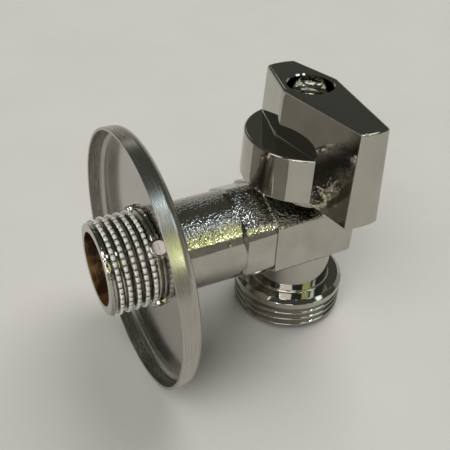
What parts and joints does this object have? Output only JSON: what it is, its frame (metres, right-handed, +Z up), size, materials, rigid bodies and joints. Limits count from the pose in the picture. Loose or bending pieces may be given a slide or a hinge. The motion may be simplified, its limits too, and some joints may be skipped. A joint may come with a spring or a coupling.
{
  "type": "washing machine valve",
  "caption": "Quarter-turn angle ball valve for a washing machine hose, with a threaded wall inlet, a threaded hose outlet, a wing lever and a sliding wall flange.",
  "frame": {"origin": "where the axis of the inlet crosses the axis of the outlet, stem and handle, in the middle of the ball", "axes": "-X points out of the inlet, towards the wall; -Z points out of the outlet; +Z points up the stem to the handle, whose lever points to -Y when closed and to +X when open"},
  "size_m": [0.0618, 0.0562, 0.061],
  "materials": {
    "body": "chromed brass forging: grainy on the pipe and flats, polished on the neck and threads, bare brass inside",
    "handle": "chromed zinc casting, mirror bright",
    "escutcheon": "thin stainless sheet, turned finish on the face, bright on the wall",
    "ball": "chromed brass",
    "seat": "white PTFE",
    "brass": "bare machined brass",
    "rubber": "black nitrile rubber",
    "screw": "zinc-plated steel"
  },
  "bodies": {
    "valve_body": {"body": "body", "back_seat": "seat", "inlet_seat": "seat", "retainer_ring": "brass", "thrust_washer": "seat", "gland_packing": "seat", "gland_nut": "brass"},
    "lever": {"handle": "handle", "stem": "brass", "ball": "ball", "handle_screw": "screw", "spring_washer": "screw", "stem_ring_lower": "rubber", "stem_ring_upper": "rubber"},
    "wall_flange": {"escutcheon": "escutcheon"}
  },
  "joints": [
    {"name": "lever_turn", "type": "hinge", "parent": "valve_body", "child": "lever", "pos_m": [0, 0, 0], "axis": [0, 0, 1], "range_deg": [0, 90]},
    {"name": "flange_slide", "type": "slide", "parent": "valve_body", "child": "wall_flange", "axis": [1, 0, 0], "range_m": [-0.01, 0.022]}
  ]
}
